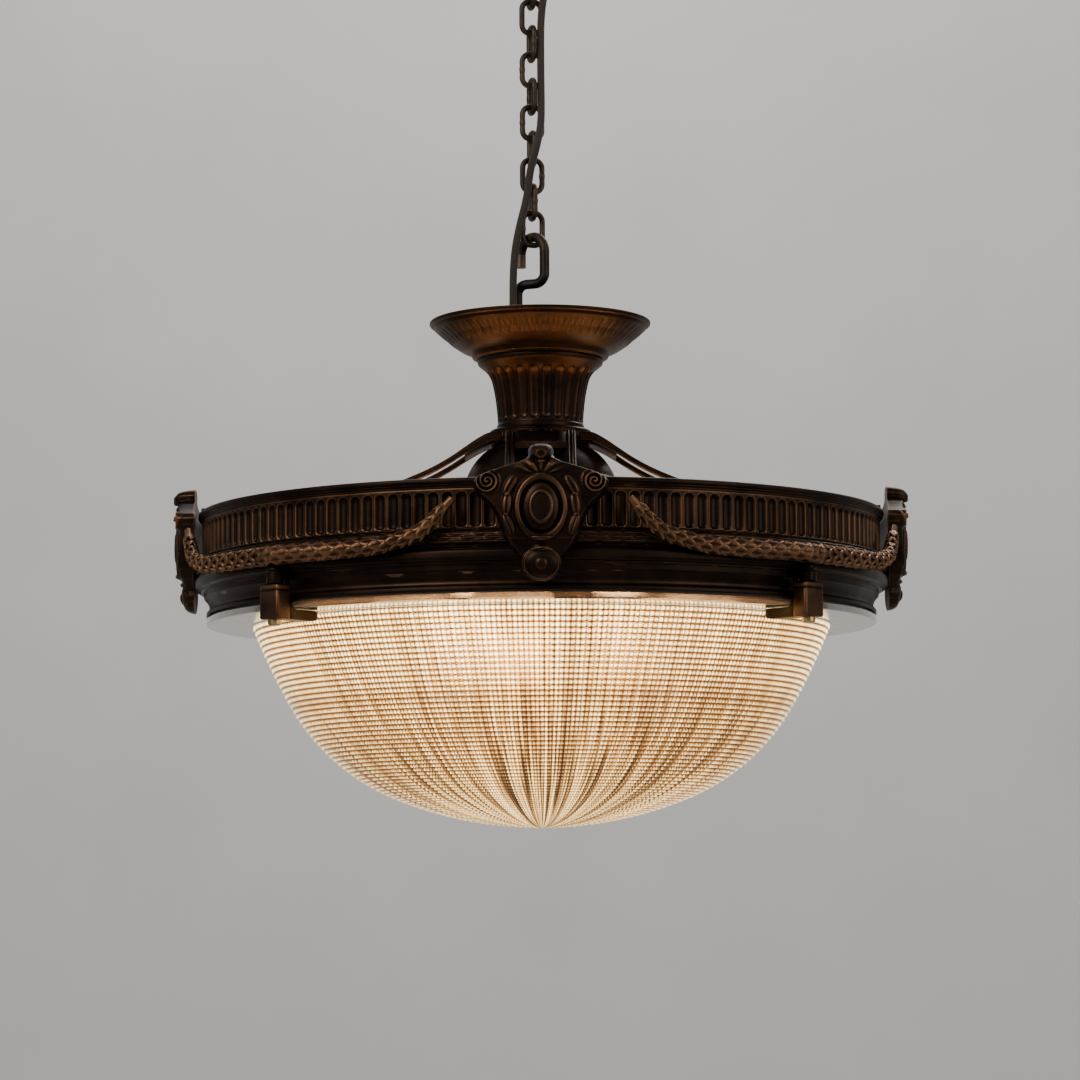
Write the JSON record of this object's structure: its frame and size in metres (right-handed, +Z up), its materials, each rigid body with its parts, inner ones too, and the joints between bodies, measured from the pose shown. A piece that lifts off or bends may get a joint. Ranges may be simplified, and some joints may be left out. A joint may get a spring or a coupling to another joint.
{
  "type": "pendant ceiling light",
  "caption": "Bowl pendant light: prismatic glass basin in an ornamented ring on openwork arms, hung by a pigtail hook from a link chain.",
  "frame": {"origin": "centre of the ceiling plate's top face, where it meets the ceiling", "axes": "+Z up; +X to the right and +Y away when the pendant is seen from the side that the hook opens to"},
  "size_m": [0.524, 0.524, 0.6505],
  "materials": {
    "patinated_bronze": "dark patinated bronze, copper-brown where rubbed",
    "dark_iron": "blackened iron",
    "aged_brass": "aged",
    "braided_flex": "braided cotton",
    "black_plastic": "matte",
    "holder_plastic": "matte",
    "ceramic": "glazed",
    "felt": "felt",
    "prismatic_glass": "pressed prisms",
    "bulb_glass": "pearl"
  },
  "bodies": {
    "ceiling": {"ceiling_plate": "patinated_bronze", "ceiling_eye": "dark_iron", "eye_nut": "patinated_bronze", "flex_bush": "black_plastic", "supply_flex": "braided_flex"},
    "link_10": {"chain_link_10": "dark_iron"},
    "link_09": {"chain_link_09": "dark_iron"},
    "link_08": {"chain_link_08": "dark_iron"},
    "link_07": {"chain_link_07": "dark_iron"},
    "link_06": {"chain_link_06": "dark_iron"},
    "link_05": {"chain_link_05": "dark_iron"},
    "link_04": {"chain_link_04": "dark_iron"},
    "link_03": {"chain_link_03": "dark_iron"},
    "link_02": {"chain_link_02": "dark_iron"},
    "link_01": {"chain_link_01": "dark_iron"},
    "fixture": {"arm_1": "patinated_bronze", "arm_2": "patinated_bronze", "arm_3": "patinated_bronze", "arm_4": "patinated_bronze", "arm_hub": "patinated_bronze", "base_moulding": "patinated_bronze", "bulb_1": "bulb_glass", "bulb_2": "bulb_glass", "bulb_3": "bulb_glass", "cartouche_1": "patinated_bronze", "cartouche_2": "patinated_bronze", "cartouche_3": "patinated_bronze", "cartouche_4": "patinated_bronze", "central_stem": "aged_brass", "clip_post_1": "patinated_bronze", "clip_post_2": "patinated_bronze", "clip_post_3": "patinated_bronze", "clip_post_4": "patinated_bronze", "clip_screws": "aged_brass", "cornice_ring": "patinated_bronze", "fluted_frieze": "patinated_bronze", "fluted_neck": "patinated_bronze", "garland_1": "patinated_bronze", "garland_2": "patinated_bronze", "garland_3": "patinated_bronze", "garland_4": "patinated_bronze", "glass_bowl": "prismatic_glass", "glass_gasket": "felt", "hook_nut": "aged_brass", "lamp_nut": "aged_brass", "lamp_plate": "aged_brass", "lampholder_1": "holder_plastic", "lampholder_2": "holder_plastic", "lampholder_3": "holder_plastic", "laurel_band": "patinated_bronze", "stem_nut": "aged_brass", "suspension_hook": "dark_iron", "terminal_block": "ceramic", "terminal_bracket": "aged_brass", "top_dish": "patinated_bronze", "wiring_canopy": "patinated_bronze"},
    "clip_1": {"glass_clip_1": "patinated_bronze"},
    "clip_2": {"glass_clip_2": "patinated_bronze"},
    "clip_3": {"glass_clip_3": "patinated_bronze"},
    "clip_4": {"glass_clip_4": "patinated_bronze"}
  },
  "joints": [
    {"name": "link_10_swing", "type": "hinge", "parent": "ceiling", "child": "link_10", "pos_m": [0, 0, -0.0369], "axis": [0.9659, 0.2588, 0], "range_deg": [-20, 20], "deforming": ["supply_flex"]},
    {"name": "link_09_swing", "type": "hinge", "parent": "link_10", "child": "link_09", "pos_m": [0, 0, -0.0534], "axis": [-0.2588, 0.9659, 0], "range_deg": [-20, 20], "deforming": ["supply_flex"]},
    {"name": "link_08_swing", "type": "hinge", "parent": "link_09", "child": "link_08", "pos_m": [0, 0, -0.0729], "axis": [-0.9659, -0.2588, 0], "range_deg": [-20, 20], "deforming": ["supply_flex"]},
    {"name": "link_07_swing", "type": "hinge", "parent": "link_08", "child": "link_07", "pos_m": [0, 0, -0.0924], "axis": [0.2588, -0.9659, 0], "range_deg": [-20, 20], "deforming": ["supply_flex"]},
    {"name": "link_06_swing", "type": "hinge", "parent": "link_07", "child": "link_06", "pos_m": [0, 0, -0.1119], "axis": [0.9659, 0.2588, 0], "range_deg": [-20, 20], "deforming": ["supply_flex"]},
    {"name": "link_05_swing", "type": "hinge", "parent": "link_06", "child": "link_05", "pos_m": [0, 0, -0.1314], "axis": [-0.2588, 0.9659, 0], "range_deg": [-20, 20], "deforming": ["supply_flex"]},
    {"name": "link_04_swing", "type": "hinge", "parent": "link_05", "child": "link_04", "pos_m": [0, 0, -0.1509], "axis": [-0.9659, -0.2588, 0], "range_deg": [-20, 20], "deforming": ["supply_flex"]},
    {"name": "link_03_swing", "type": "hinge", "parent": "link_04", "child": "link_03", "pos_m": [0, 0, -0.1704], "axis": [0.2588, -0.9659, 0], "range_deg": [-20, 20], "deforming": ["supply_flex"]},
    {"name": "link_02_swing", "type": "hinge", "parent": "link_03", "child": "link_02", "pos_m": [0, 0, -0.1899], "axis": [0.9659, 0.2588, 0], "range_deg": [-20, 20], "deforming": ["supply_flex"]},
    {"name": "link_01_swing", "type": "hinge", "parent": "link_02", "child": "link_01", "pos_m": [0, 0, -0.2094], "axis": [-0.2588, 0.9659, 0], "range_deg": [-20, 20], "deforming": ["supply_flex"]},
    {"name": "hook_swing", "type": "hinge", "parent": "link_01", "child": "fixture", "pos_m": [0, 0, -0.2289], "axis": [-0.9659, -0.2588, 0], "range_deg": [-15, 15], "deforming": ["supply_flex"]},
    {"name": "clip_1_swivel", "type": "hinge", "parent": "fixture", "child": "clip_1", "pos_m": [0.18178, 0.17678, -0.503], "axis": [0, 0, 1], "range_deg": [-95, 95]},
    {"name": "clip_2_swivel", "type": "hinge", "parent": "fixture", "child": "clip_2", "pos_m": [-0.17178, 0.17678, -0.503], "axis": [0, 0, 1], "range_deg": [-95, 95]},
    {"name": "clip_3_swivel", "type": "hinge", "parent": "fixture", "child": "clip_3", "pos_m": [-0.17178, -0.17678, -0.503], "axis": [0, 0, 1], "range_deg": [-95, 95]},
    {"name": "clip_4_swivel", "type": "hinge", "parent": "fixture", "child": "clip_4", "pos_m": [0.18178, -0.17678, -0.503], "axis": [0, 0, 1], "range_deg": [-95, 95]}
  ]
}
